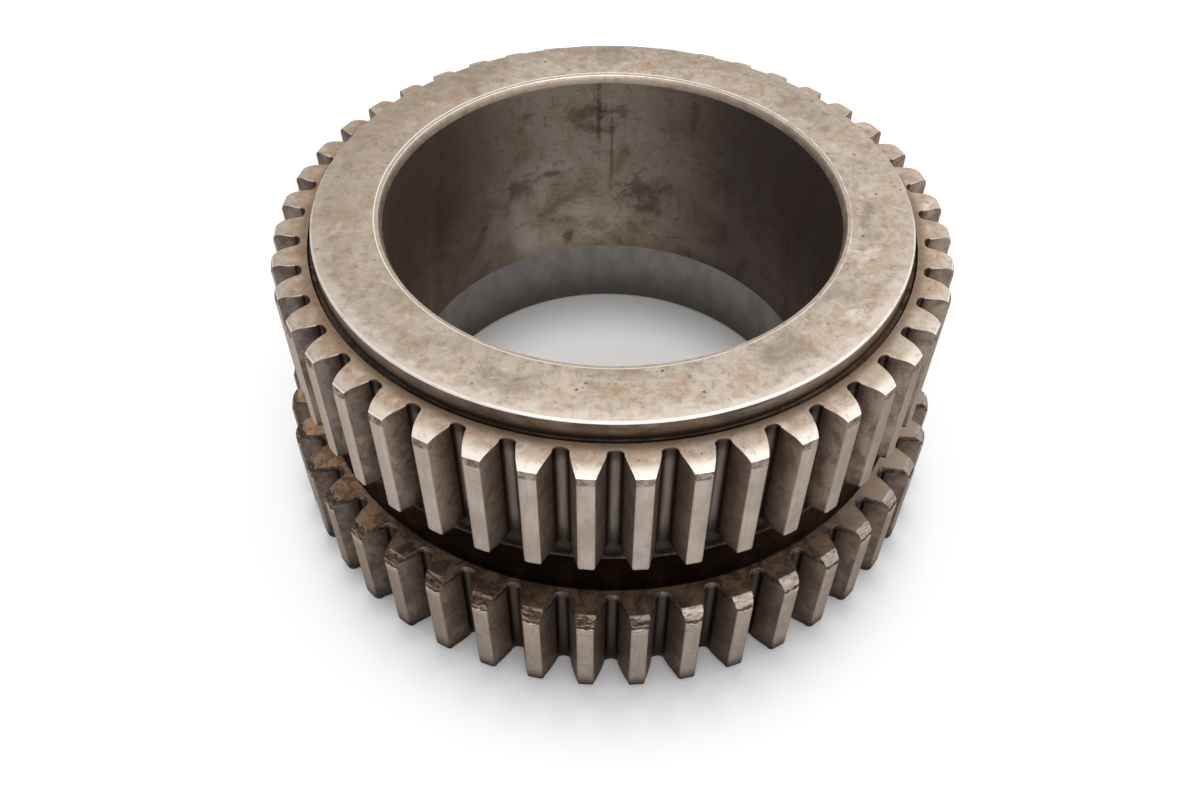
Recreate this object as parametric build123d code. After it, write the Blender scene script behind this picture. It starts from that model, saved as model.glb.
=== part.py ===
"""Double-row spur gear ring.

One solid ring stands on its lower face, with its axis along +Z and its origin on the axis at that face.
From the bottom up it has a lower row of straight teeth, a turned groove, an upper row of teeth whose gaps
are closed below by a thin shoulder, and a raised hub rim. A plain bore runs right through.
"""
from build123d import *
import math
import os

# Teeth: both rows have the same count and stand in line.
TEETH = 44
MODULE = 4.0

# Upper row: its pitch circle follows from the module, and its teeth reach out and in from there.
UPPER_PITCH_RADIUS = TEETH * MODULE / 2
UPPER_ADDENDUM = 4.0
UPPER_DEDENDUM = 4.0
UPPER_TIP_RADIUS = UPPER_PITCH_RADIUS + UPPER_ADDENDUM
UPPER_ROOT_RADIUS = UPPER_PITCH_RADIUS - UPPER_DEDENDUM
UPPER_PRESSURE_ANGLE = math.radians(20.0)
UPPER_TOOTH_THICKNESS = 7.0
UPPER_WIDTH = 36.4
UPPER_ROOT_ROUNDING = 0.4
UPPER_BEVEL_DEPTH = 0.8
UPPER_BEVEL_LENGTH = 1.6
UPPER_CHAMFER_DEPTH = 1.2
UPPER_CHAMFER_LENGTH = 1.1

# Lower row, cut this much further out than the upper one.
ROW_OFFSET = 4.4
LOWER_PITCH_RADIUS = UPPER_PITCH_RADIUS + ROW_OFFSET
LOWER_ADDENDUM = 4.8
LOWER_DEDENDUM = 3.5
LOWER_TIP_RADIUS = LOWER_PITCH_RADIUS + LOWER_ADDENDUM
LOWER_ROOT_RADIUS = LOWER_PITCH_RADIUS - LOWER_DEDENDUM
LOWER_PRESSURE_ANGLE = math.radians(22.0)
LOWER_TOOTH_THICKNESS = 8.1
LOWER_WIDTH = 33.5
LOWER_ROOT_ROUNDING = 0.4
LOWER_BEVEL_DEPTH = 0.6
LOWER_BEVEL_LENGTH = 1.9
LOWER_CHAMFER_DEPTH = 1.8
LOWER_CHAMFER_LENGTH = 2.0

# Turned bevel on the lower end of every tooth: radial depth by axial length.
FOOT_BEVEL_DEPTH = 0.5
FOOT_BEVEL_LENGTH = 1.0

# Groove between the rows, and the shoulder above it that closes the upper gaps.
GROOVE_WIDTH = 15.5
GROOVE_ROOT_CLEARANCE = 2.1
GROOVE_RADIUS = LOWER_ROOT_RADIUS - GROOVE_ROOT_CLEARANCE
SHOULDER_PITCH_CLEARANCE = 0.5
SHOULDER_RADIUS = UPPER_PITCH_RADIUS + SHOULDER_PITCH_CLEARANCE
SHOULDER_THICKNESS = 1.1

# Hub rim above the upper row, set in from the tooth roots, with an undercut ring at its foot.
RIM_ROOT_CLEARANCE = 3.5
RIM_RADIUS = UPPER_ROOT_RADIUS - RIM_ROOT_CLEARANCE
RIM_HEIGHT = 5.1
RIM_BEVEL = 0.7
RELIEF_WIDTH = 1.4
RELIEF_DEPTH = 0.8

# Bore, with a steep lead-in at the top and a small break at the bottom.
RIM_THICKNESS = 18.5
BORE_RADIUS = RIM_RADIUS - RIM_THICKNESS
LEAD_IN_DEPTH = 0.8
LEAD_IN_LENGTH = 2.5
BORE_FOOT_BREAK = 0.6

# Levels, from the face that the ring stands on.
LOWER_TOP = LOWER_WIDTH
UPPER_BOTTOM = LOWER_TOP + GROOVE_WIDTH
UPPER_TOP = UPPER_BOTTOM + UPPER_WIDTH
RIM_TOP = UPPER_TOP + RIM_HEIGHT

# The tooth rows are cut from a ring that reaches this far inside their roots.
CORE_RADIUS = BORE_RADIUS + (GROOVE_RADIUS - BORE_RADIUS) / 2


def polar(radius, angle):
    """Point at an angle measured from -Y towards +X."""
    return (radius * math.sin(angle), -radius * math.cos(angle))


def involute(radius, base_radius):
    """Angle that an involute has swept when it reaches a radius."""
    pressure = math.acos(min(1.0, base_radius / radius))
    return math.tan(pressure) - pressure


def gear_outline(tip_radius, root_radius, pitch_radius, pressure_angle, thickness, rounding):
    """Closed wire around all the teeth: two involute flanks and a tip arc a tooth, and a rounded root."""
    base_radius = pitch_radius * math.cos(pressure_angle)
    half_at_pitch = thickness / (2 * pitch_radius)
    pitch_sweep = involute(pitch_radius, base_radius)

    def half_angle(radius):
        return half_at_pitch + pitch_sweep - involute(radius, base_radius)

    form_radius = root_radius + rounding
    middle_radius = (form_radius + tip_radius) / 2
    form, middle, tip = half_angle(form_radius), half_angle(middle_radius), half_angle(tip_radius)
    step = 2 * math.pi / TEETH
    edges = []
    for tooth in range(TEETH):
        centre = tooth * step
        left_foot = polar(form_radius, centre - form)
        left_tip = polar(tip_radius, centre - tip)
        right_tip = polar(tip_radius, centre + tip)
        right_foot = polar(form_radius, centre + form)
        next_foot = polar(form_radius, centre + step - form)
        edges.append(ThreePointArc(left_foot, polar(middle_radius, centre - middle), left_tip))
        edges.append(ThreePointArc(left_tip, polar(tip_radius, centre), right_tip))
        edges.append(ThreePointArc(right_tip, polar(middle_radius, centre + middle), right_foot))
        edges.append(ThreePointArc(right_foot, polar(root_radius, centre + step / 2), next_foot))
    return Wire(edges)


def turned(*profile):
    """Solid turned about the axis from (radius, height) corners."""
    face = Plane.XZ * make_face(Polyline(*profile, close=True))
    return revolve(face, Axis.Z)


def toothed_row(outline, bottom, top, tip_radius, bevel, chamfer):
    """Prism of the tooth outline, turned down at both ends of the teeth.

    The upper end has a steep bevel with a flatter chamfer above it, each a (depth, length) pair.
    """
    prism = Pos(0, 0, bottom) * extrude(make_face(outline), top - bottom)
    bevel_depth, bevel_length = bevel
    chamfer_depth, chamfer_length = chamfer
    envelope = turned(
        (CORE_RADIUS, bottom),
        (tip_radius - FOOT_BEVEL_DEPTH, bottom),
        (tip_radius, bottom + FOOT_BEVEL_LENGTH),
        (tip_radius, top - chamfer_length - bevel_length),
        (tip_radius - bevel_depth, top - chamfer_length),
        (tip_radius - bevel_depth - chamfer_depth, top),
        (CORE_RADIUS, top),
    )
    return prism & envelope


def lower_row():
    outline = gear_outline(
        LOWER_TIP_RADIUS,
        LOWER_ROOT_RADIUS,
        LOWER_PITCH_RADIUS,
        LOWER_PRESSURE_ANGLE,
        LOWER_TOOTH_THICKNESS,
        LOWER_ROOT_ROUNDING,
    )
    bevel = (LOWER_BEVEL_DEPTH, LOWER_BEVEL_LENGTH)
    chamfer = (LOWER_CHAMFER_DEPTH, LOWER_CHAMFER_LENGTH)
    return toothed_row(outline, 0.0, LOWER_TOP, LOWER_TIP_RADIUS, bevel, chamfer)


def upper_row():
    outline = gear_outline(
        UPPER_TIP_RADIUS,
        UPPER_ROOT_RADIUS,
        UPPER_PITCH_RADIUS,
        UPPER_PRESSURE_ANGLE,
        UPPER_TOOTH_THICKNESS,
        UPPER_ROOT_ROUNDING,
    )
    bevel = (UPPER_BEVEL_DEPTH, UPPER_BEVEL_LENGTH)
    chamfer = (UPPER_CHAMFER_DEPTH, UPPER_CHAMFER_LENGTH)
    return toothed_row(outline, UPPER_BOTTOM, UPPER_TOP, UPPER_TIP_RADIUS, bevel, chamfer)


def turned_core():
    """Everything that is round: the bore wall, the groove, the shoulder, the relief and the hub rim."""
    return turned(
        (BORE_RADIUS + BORE_FOOT_BREAK, 0),
        (CORE_RADIUS, 0),
        (CORE_RADIUS, LOWER_TOP),
        (GROOVE_RADIUS, LOWER_TOP),
        (GROOVE_RADIUS, UPPER_BOTTOM),
        (SHOULDER_RADIUS, UPPER_BOTTOM),
        (SHOULDER_RADIUS, UPPER_BOTTOM + SHOULDER_THICKNESS),
        (CORE_RADIUS, UPPER_BOTTOM + SHOULDER_THICKNESS),
        (CORE_RADIUS, UPPER_TOP),
        (RIM_RADIUS, UPPER_TOP),
        (RIM_RADIUS, RIM_TOP - RIM_BEVEL),
        (RIM_RADIUS - RIM_BEVEL, RIM_TOP),
        (BORE_RADIUS + LEAD_IN_DEPTH, RIM_TOP),
        (BORE_RADIUS, RIM_TOP - LEAD_IN_LENGTH),
        (BORE_RADIUS, BORE_FOOT_BREAK),
    )


def rim_relief():
    """Shallow ring cut into the upper tooth face round the foot of the rim."""
    return turned(
        (RIM_RADIUS, UPPER_TOP - RELIEF_DEPTH),
        (RIM_RADIUS + RELIEF_WIDTH, UPPER_TOP - RELIEF_DEPTH),
        (RIM_RADIUS + RELIEF_WIDTH, UPPER_TOP + RELIEF_DEPTH),
        (RIM_RADIUS, UPPER_TOP + RELIEF_DEPTH),
    )


def gear_ring():
    return turned_core() + lower_row() + upper_row() - rim_relief()


os.makedirs("parts", exist_ok=True)
ring = gear_ring()
export_step(ring, "parts/gear_ring.step")
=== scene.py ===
"""Looks of the double-row spur gear ring: a bevelled, worn mesh of the ring, its oil-stained steel with
painted shade and painted highlights in places, a pale floor, soft studio light and the camera."""
import bpy
import math
import numpy as np
from mathutils import Matrix, Vector


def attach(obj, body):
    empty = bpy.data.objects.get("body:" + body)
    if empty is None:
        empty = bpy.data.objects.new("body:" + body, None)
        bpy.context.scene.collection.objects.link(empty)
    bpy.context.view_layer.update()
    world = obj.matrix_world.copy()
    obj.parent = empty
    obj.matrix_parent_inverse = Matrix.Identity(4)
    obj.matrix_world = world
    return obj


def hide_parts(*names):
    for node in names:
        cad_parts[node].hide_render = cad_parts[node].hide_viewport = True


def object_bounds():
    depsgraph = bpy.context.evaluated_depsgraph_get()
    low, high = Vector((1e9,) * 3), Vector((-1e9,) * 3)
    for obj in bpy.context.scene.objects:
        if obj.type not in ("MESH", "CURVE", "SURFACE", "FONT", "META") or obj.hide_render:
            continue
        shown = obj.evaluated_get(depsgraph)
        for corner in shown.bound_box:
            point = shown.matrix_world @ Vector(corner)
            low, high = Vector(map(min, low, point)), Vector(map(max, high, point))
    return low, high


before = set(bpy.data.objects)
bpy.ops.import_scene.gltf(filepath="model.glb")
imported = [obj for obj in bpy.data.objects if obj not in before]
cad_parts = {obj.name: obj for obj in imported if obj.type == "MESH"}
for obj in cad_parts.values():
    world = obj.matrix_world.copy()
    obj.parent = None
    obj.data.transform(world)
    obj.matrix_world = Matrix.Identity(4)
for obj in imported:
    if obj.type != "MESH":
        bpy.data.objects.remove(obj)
cad_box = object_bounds()

MM = 0.001
SEED = 44
rng = np.random.default_rng(SEED)

# Sizes in millimetres, with heights from the lower face. The outermost ones come from the frame, so that the
# detail stays inside it.
LOWER_TIP = cad_box[1].y / MM
RIM_TOP = cad_box[1].z / MM
TEETH = 44
PITCH_ANGLE = 2 * math.pi / TEETH
UPPER = dict(tip=92.0, root=84.0, pitch=88.0, thickness=7.0, pressure=20)
LOWER = dict(tip=LOWER_TIP, root=88.9, pitch=92.4, thickness=8.1, pressure=22)
CORNER_BREAK = 0.6
ROOT_ROUNDING = 1.5

LOWER_TOP = 33.5
GROOVE_RADIUS = 86.8
UPPER_BOTTOM = 49.0
SHOULDER_RADIUS = 88.5
SHOULDER_TOP = 50.1
SHOULDER_CREASE = 0.05
UPPER_BEVEL_FOOT = 82.3
UPPER_TOP = 85.4
RIM_RADIUS = 80.5
RELIEF_WIDTH = 1.4
RELIEF_DEPTH = 0.8
RELIEF_FILLET = 0.3
BORE_RADIUS = 62.0
LEAD_IN_DEPTH = 0.8
LEAD_IN_LENGTH = 2.5
BORE_FOOT_BREAK = 0.6
BAND_TOP = 23.5

# Rounded ends of the teeth: how far each rounding reaches along the axis, and how deep it goes at the end.
LOWER_FOOT_LAND = dict(reach=3.2, depth=1.2)
LOWER_FOOT_SIDES = dict(reach=3.2, depth=1.5)
LOWER_CAP_SIDES = dict(reach=1.4, depth=0.55)
UPPER_FOOT_LAND = dict(reach=1.2, depth=0.5)
UPPER_FOOT_SIDES = dict(reach=1.6, depth=0.6)
UPPER_CAP_SIDES = dict(reach=0.3, depth=0.15)

# Small roundings, as steps out and up from the corner that each one rounds.
GROOVE_FLARE = 0.45
GROOVE_FOOT_ROUNDING = ((0.1, 0.15), (0.0, 0.5))
GROOVE_HEAD_ROUNDING = ((0.0, -0.5), (0.1, -0.15), (0.5, 0.0))
SHOULDER_ROUNDING = ((-0.25, 0.0), (-0.1, 0.15), (0.0, 0.4), (-0.05, 0.7), (-0.3, 0.95), (-0.75, 1.1))
RELIEF_ROLL = 1.5
RELIEF_LIP = ((0.15, -0.06), (0.0, -0.25))
RIM_BEVEL = ((0.0, -0.55), (-0.1, -0.35), (-0.35, -0.08))
RIM_BEVEL_END = 0.55
BORE_LIP = (
    (1.25, 0.0, "bore_line"),
    (0.95, -0.07, "lead_flat"),
    (0.12, -0.16, "bore_line"),
    (-0.02, -0.3, "lead_in"),
)
LEAD_IN_END = ((0.05, 0.15, "lead_in"), (0.0, -0.1, "bore"))
# Shares of the lead-in's depth and length at which it bends.
LEAD_IN_BEND = (0.45, 0.5)

# Heights of the rings. Cap depths count down from the top of the lower row, and bevel rises count up from the
# foot of the upper bevel.
FOOT_LEVELS = (0.0, 0.25, 0.9, 1.9)
LOWER_LAND_LEVELS = (3.2, 9.0, 16.0, 23.0)
CAP_DEPTHS = (1.4, 1.0, 0.7, 0.4, 0.2, 0.08)
UPPER_LAND_LEVELS = (58.0, 66.0, 74.0)
BEVEL_RISES = (0.0, 0.24, 0.9)

# The upper ends of the lower teeth are worn to two facets, which meet at a ridge. Heights and depths differ
# from tooth to tooth by up to the spread, and across half a tooth by up to the tilt. The chewed ripples on
# the facets fade in above the start.
WORN_START = 29.6
WORN_START_SPREAD = 0.35
WORN_START_TILT = 0.8
WORN_MARGIN = 1.1
RIDGE_HEIGHT = 31.5
RIDGE_SPREAD = 0.3
RIDGE_TILT = 0.9
RIDGE_DEPTH = 0.6
RIDGE_DEPTH_SPREAD = 0.15
WORN_DEPTH = 2.4
WORN_DEPTH_SPREAD = 0.5
CHEWED_DEPTH = 0.055
CHEWED_FADE = 0.5
WORN_LEVELS = 9

# Steps of a tooth outline on half a land, a corner, a flank and half a root. Crowding over 1 gathers a
# flank's points near its corner, and fullness under 1 makes the root's rounding squarer than an arc.
LAND_STEPS = 2
CORNER_STEPS = 3
FLANK_STEPS = 6
FLANK_CROWDING = 1.5
ROOT_STEPS = 5
ROOT_FULLNESS = 0.8
TINY = 1e-6

# Edges that turn by more than this many degrees stay crisp.
SHARP_ANGLE = 28


# ---------------------------------------------------------------- tooth outlines
def involute(radius, base_radius):
    """Angle that an involute has swept when it reaches a radius."""
    pressure = math.acos(min(1.0, base_radius / radius))
    return math.tan(pressure) - pressure


def flank_radius(row, step):
    """Radius of one of the flank's points, counted inwards from its corner."""
    start = row["tip"] - CORNER_BREAK
    reach = start - row["root"] - ROOT_ROUNDING
    return start - reach * (step / FLANK_STEPS) ** FLANK_CROWDING


def half_tooth(row):
    """(angle, radius, kind of surface up to the next point), from a tooth's middle to its gap's middle."""
    base = row["pitch"] * math.cos(math.radians(row["pressure"]))
    at_pitch = row["thickness"] / (2 * row["pitch"]) + involute(row["pitch"], base)

    def half_angle(radius):
        return at_pitch - involute(radius, base)

    tip = row["tip"]
    land_end = half_angle(tip) - CORNER_BREAK / tip
    points = [(land_end * i / LAND_STEPS, tip, "land") for i in range(LAND_STEPS)]
    corner_reach = half_angle(tip - CORNER_BREAK) - land_end
    for i in range(CORNER_STEPS):
        turn = math.pi / 2 * i / CORNER_STEPS
        radius = tip - CORNER_BREAK * (1 - math.cos(turn))
        points.append((land_end + corner_reach * math.sin(turn), radius, "corner"))
    for i in range(FLANK_STEPS):
        radius = flank_radius(row, i)
        points.append((half_angle(radius), radius, "flank"))
    root_start = row["root"] + ROOT_ROUNDING
    gap = PITCH_ANGLE / 2
    for i in range(ROOT_STEPS + 1):
        turn = math.pi / 2 * i / ROOT_STEPS
        angle = gap - (gap - half_angle(root_start)) * math.cos(turn) ** ROOT_FULLNESS
        points.append((angle, root_start - ROOT_ROUNDING * math.sin(turn) ** ROOT_FULLNESS, "root"))
    return points


def outline(row):
    """Angles and radii of the points round the whole row, and the surface kinds of one pitch."""
    half = half_tooth(row)
    left = [(-a, r) for a, r, _ in reversed(half[1:-1])]
    right = [(a, r) for a, r, _ in half]
    kinds = [k for _, _, k in reversed(half[:-2])] + [k for _, _, k in half[:-1]] + [half[-2][2]]
    pitch = left + right
    angles = np.array([a for a, _ in pitch])
    radii = np.array([r for _, r in pitch])
    steps = np.arange(TEETH)[:, None] * PITCH_ANGLE
    return (steps + angles).ravel(), np.tile(radii, TEETH), kinds


UPPER_ANGLES, UPPER_RADII, PITCH_KINDS = outline(UPPER)
LOWER_ANGLES, LOWER_RADII, _ = outline(LOWER)
AROUND = len(UPPER_ANGLES)
KINDS = np.array(PITCH_KINDS * TEETH)
TOOTH = np.repeat(np.arange(TEETH), len(PITCH_KINDS))


# ---------------------------------------------------------------- wear of the lower teeth
# Place across a tooth: 0 at its middle, and 1 and -1 in the middles of its gaps.
ACROSS = (LOWER_ANGLES - TOOTH * PITCH_ANGLE) / (PITCH_ANGLE / 2)


def spread(middle, half_range):
    """One value a tooth, at each of its points, spread evenly about a middle value."""
    return (middle + rng.uniform(-half_range, half_range, TEETH))[TOOTH]


START = spread(WORN_START, WORN_START_SPREAD) + spread(0.0, WORN_START_TILT) * ACROSS
RIDGE = spread(RIDGE_HEIGHT, RIDGE_SPREAD) + spread(0.0, RIDGE_TILT) * ACROSS
RIDGE_FALL = spread(RIDGE_DEPTH, RIDGE_DEPTH_SPREAD)
WORN_FALL = spread(WORN_DEPTH, WORN_DEPTH_SPREAD)
PHASES = [spread(0.0, math.pi) for _ in range(4)]


def smooth(value):
    """Soft rise from 0 to 1 as a value goes from 0 to 1."""
    value = np.clip(value, 0, 1)
    return value * value * (3 - 2 * value)


def chewed(height):
    """Ripples of the worn facets: waves across the teeth and along the axis, different on every tooth."""

    def wave(across_rate, height_rate, phase):
        return np.sin(across_rate * ACROSS + height_rate * height + phase)

    coarse = wave(23, 0, PHASES[0]) * wave(0, 3.1, PHASES[1])
    return coarse + 0.7 * wave(41, 5.3, PHASES[2]) + 0.6 * wave(-13, 6.7, PHASES[3])


def worn_radius(height):
    """Outer radius of the lower row at a height: two chewed facets, uneven from tooth to tooth."""
    first = np.clip((height - START) / (RIDGE - START), 0, 1) * RIDGE_FALL
    second = np.clip((height - RIDGE) / (LOWER_TOP - RIDGE), 0, 1) * (WORN_FALL - RIDGE_FALL)
    pits = CHEWED_DEPTH * chewed(height) * smooth((height - START) / CHEWED_FADE)
    return LOWER_TIP - first - second - np.abs(pits)


# ---------------------------------------------------------------- rings of the surface
# Each is (points, which of them are cut back from the tooth outline, finish of the strip above). A finish is
# one name, or a pair: the name on the faces cut back, and a suffix to the kind of surface for the rest.
def ring(angles, radii, height, inset=0.0):
    """Points of a closed ring. An inset moves them inwards, square to the ring's own line."""
    x = radii * np.sin(angles)
    y = -radii * np.cos(angles)
    along_x = np.roll(x, -1) - np.roll(x, 1)
    along_y = np.roll(y, -1) - np.roll(y, 1)
    length = np.hypot(along_x, along_y)
    x = x - inset * along_y / length
    y = y + inset * along_x / length
    return np.stack([x, y, np.full(AROUND, height)], axis=1)


def round_ring(radius, height, finish, angles=UPPER_ANGLES):
    """Round ring, which no tooth outline cuts."""
    return ring(angles, np.full(AROUND, radius), height), None, finish


def round_rings(radius, height, steps, finish):
    """Round rings along the steps of a small rounding."""
    return [round_ring(radius + out, height + up, finish) for out, up in steps]


def end_fall(distance, reach, depth):
    """How far a rounded end of a tooth has fallen back at a distance from that end."""
    rise = min(1.0, max(0.0, distance / reach))
    return depth * (1 - math.sqrt(1 - (1 - rise) ** 2))


def lower_ring(height, finish):
    """Ring round the lower teeth, with rounded feet and worn, rounded upper ends."""
    foot_limit = LOWER_TIP - end_fall(height, **LOWER_FOOT_LAND)
    limit = np.minimum(foot_limit, worn_radius(height))
    cut = LOWER_RADII >= limit - TINY
    inset = end_fall(height, **LOWER_FOOT_SIDES) + end_fall(LOWER_TOP - height, **LOWER_CAP_SIDES)
    return ring(LOWER_ANGLES, np.minimum(LOWER_RADII, limit), height, inset), cut, finish


# The upper teeth end in a steep bevel, and above it their top face rolls over softly. These are the heights
# at which the bevel and the roll reach the land and each of a flank's own points, so that the edge is clean.
END_HEIGHTS = (UPPER_BEVEL_FOOT, 84.1, 84.42, 84.83, 85.13, 85.32, UPPER_TOP)
END_RADII = [UPPER["tip"]] + [flank_radius(UPPER, i) for i in range(FLANK_STEPS)]


def upper_ring(height, finish, least=0.0):
    """Ring round the upper teeth. Where the shoulder closes the gaps, its radius is the least."""
    rise = height - UPPER_BOTTOM
    limit = np.interp(height, END_HEIGHTS, END_RADII) - end_fall(rise, **UPPER_FOOT_LAND)
    inset = end_fall(rise, **UPPER_FOOT_SIDES) + end_fall(UPPER_TOP - height, **UPPER_CAP_SIDES)
    cut = UPPER_RADII >= limit - TINY
    radii = np.maximum(np.minimum(UPPER_RADII, limit), least)
    return ring(UPPER_ANGLES, radii, height, inset), cut, finish


def lower_row():
    """Lower teeth, from their rounded feet to their chewed upper ends."""
    for height in FOOT_LEVELS:
        yield lower_ring(height, ("foot", "_foot"))
    for height in LOWER_LAND_LEVELS:
        yield lower_ring(height, ("land", ""))
    low = WORN_START - WORN_MARGIN
    high = LOWER_TOP - CAP_DEPTHS[0]
    for i in range(WORN_LEVELS):
        yield lower_ring(low + (high - low) * i / WORN_LEVELS, ("worn", ""))
    for depth in CAP_DEPTHS:
        yield lower_ring(LOWER_TOP - depth, ("worn", "_cap"))
    yield lower_ring(LOWER_TOP, "lower_top")


def groove():
    """Groove between the rows, rounded into the faces below and above it."""
    yield round_ring(GROOVE_RADIUS + GROOVE_FLARE, LOWER_TOP, "groove", LOWER_ANGLES)
    yield from round_rings(GROOVE_RADIUS, LOWER_TOP, GROOVE_FOOT_ROUNDING, "groove")
    yield from round_rings(GROOVE_RADIUS, UPPER_BOTTOM, GROOVE_HEAD_ROUNDING, "groove")


def upper_row():
    """Shoulder and teeth of the upper row, up to the soft roll of their top faces."""
    for out, up in SHOULDER_ROUNDING:
        yield upper_ring(UPPER_BOTTOM + up, ("land", "_shoulder"), SHOULDER_RADIUS + out)
    yield upper_ring(SHOULDER_TOP + SHOULDER_CREASE, ("land", ""))
    yield upper_ring(UPPER_BOTTOM + UPPER_FOOT_SIDES["reach"], ("land", ""))
    for height in UPPER_LAND_LEVELS:
        yield upper_ring(height, ("land", ""))
    for rise in BEVEL_RISES:
        yield upper_ring(UPPER_BEVEL_FOOT + rise, ("bevel", ""))
    yield upper_ring(END_HEIGHTS[1], ("tooth_edge", ""))
    for height in END_HEIGHTS[2:4]:
        yield upper_ring(height, ("upper_top", ""))
    for height in END_HEIGHTS[4:6]:
        yield upper_ring(height, ("upper_top", "_edge"))
    yield upper_ring(UPPER_TOP, "upper_top")


def rim():
    """Relief at the rim's foot, the rim's wall and its bevelled edge."""
    relief_edge = RIM_RADIUS + RELIEF_WIDTH
    relief_floor = UPPER_TOP - RELIEF_DEPTH
    yield round_ring(relief_edge + RELIEF_ROLL, UPPER_TOP, "upper_top")
    yield from round_rings(relief_edge, UPPER_TOP, RELIEF_LIP, "relief")
    yield round_ring(relief_edge - RELIEF_FILLET, relief_floor, "relief")
    yield round_ring(RIM_RADIUS + RELIEF_FILLET, relief_floor, "relief")
    yield round_ring(RIM_RADIUS, relief_floor + RELIEF_FILLET, "rim_wall")
    yield from round_rings(RIM_RADIUS, RIM_TOP, RIM_BEVEL, "rim_edge")
    yield round_ring(RIM_RADIUS - RIM_BEVEL_END, RIM_TOP, "rim_top")


def bore():
    """Lead-in with its bright lines of rubbed steel and painted highlight, the wall down to the grey band,
    the band, and the break at the foot.
    """
    for out, up, finish in BORE_LIP:
        yield round_ring(BORE_RADIUS + LEAD_IN_DEPTH + out, RIM_TOP + up, finish)
    depth_share, length_share = LEAD_IN_BEND
    bend_radius = BORE_RADIUS + LEAD_IN_DEPTH * depth_share
    yield round_ring(bend_radius, RIM_TOP - LEAD_IN_LENGTH * length_share, "lead_in")
    for out, up, finish in LEAD_IN_END:
        yield round_ring(BORE_RADIUS + out, RIM_TOP - LEAD_IN_LENGTH + up, finish)
    yield round_ring(BORE_RADIUS, BAND_TOP, "band")
    yield round_ring(BORE_RADIUS, BORE_FOOT_BREAK, "band", LOWER_ANGLES)
    yield round_ring(BORE_RADIUS + BORE_FOOT_BREAK, 0.0, "underside", LOWER_ANGLES)


def shell():
    """All rings, from the foot outwards and up the teeth, over the rim and down the bore."""
    return [*lower_row(), *groove(), *upper_row(), *rim(), *bore()]


# ---------------------------------------------------------------- node helpers
# Places of a Mix node's colour sockets, which share their names with its number sockets.
MIX_A = 6
MIX_B = 7
MIX_RESULT = 2


def feed(tree, value, socket):
    """Link a socket's output to an input, or set the input to a number."""
    if isinstance(value, bpy.types.NodeSocket):
        tree.links.new(value, socket)
    else:
        socket.default_value = value


def maths_node(tree, operation, *values):
    node = tree.nodes.new("ShaderNodeMath")
    node.operation = operation
    for value, socket in zip(values, node.inputs):
        feed(tree, value, socket)
    return node.outputs[0]


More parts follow.
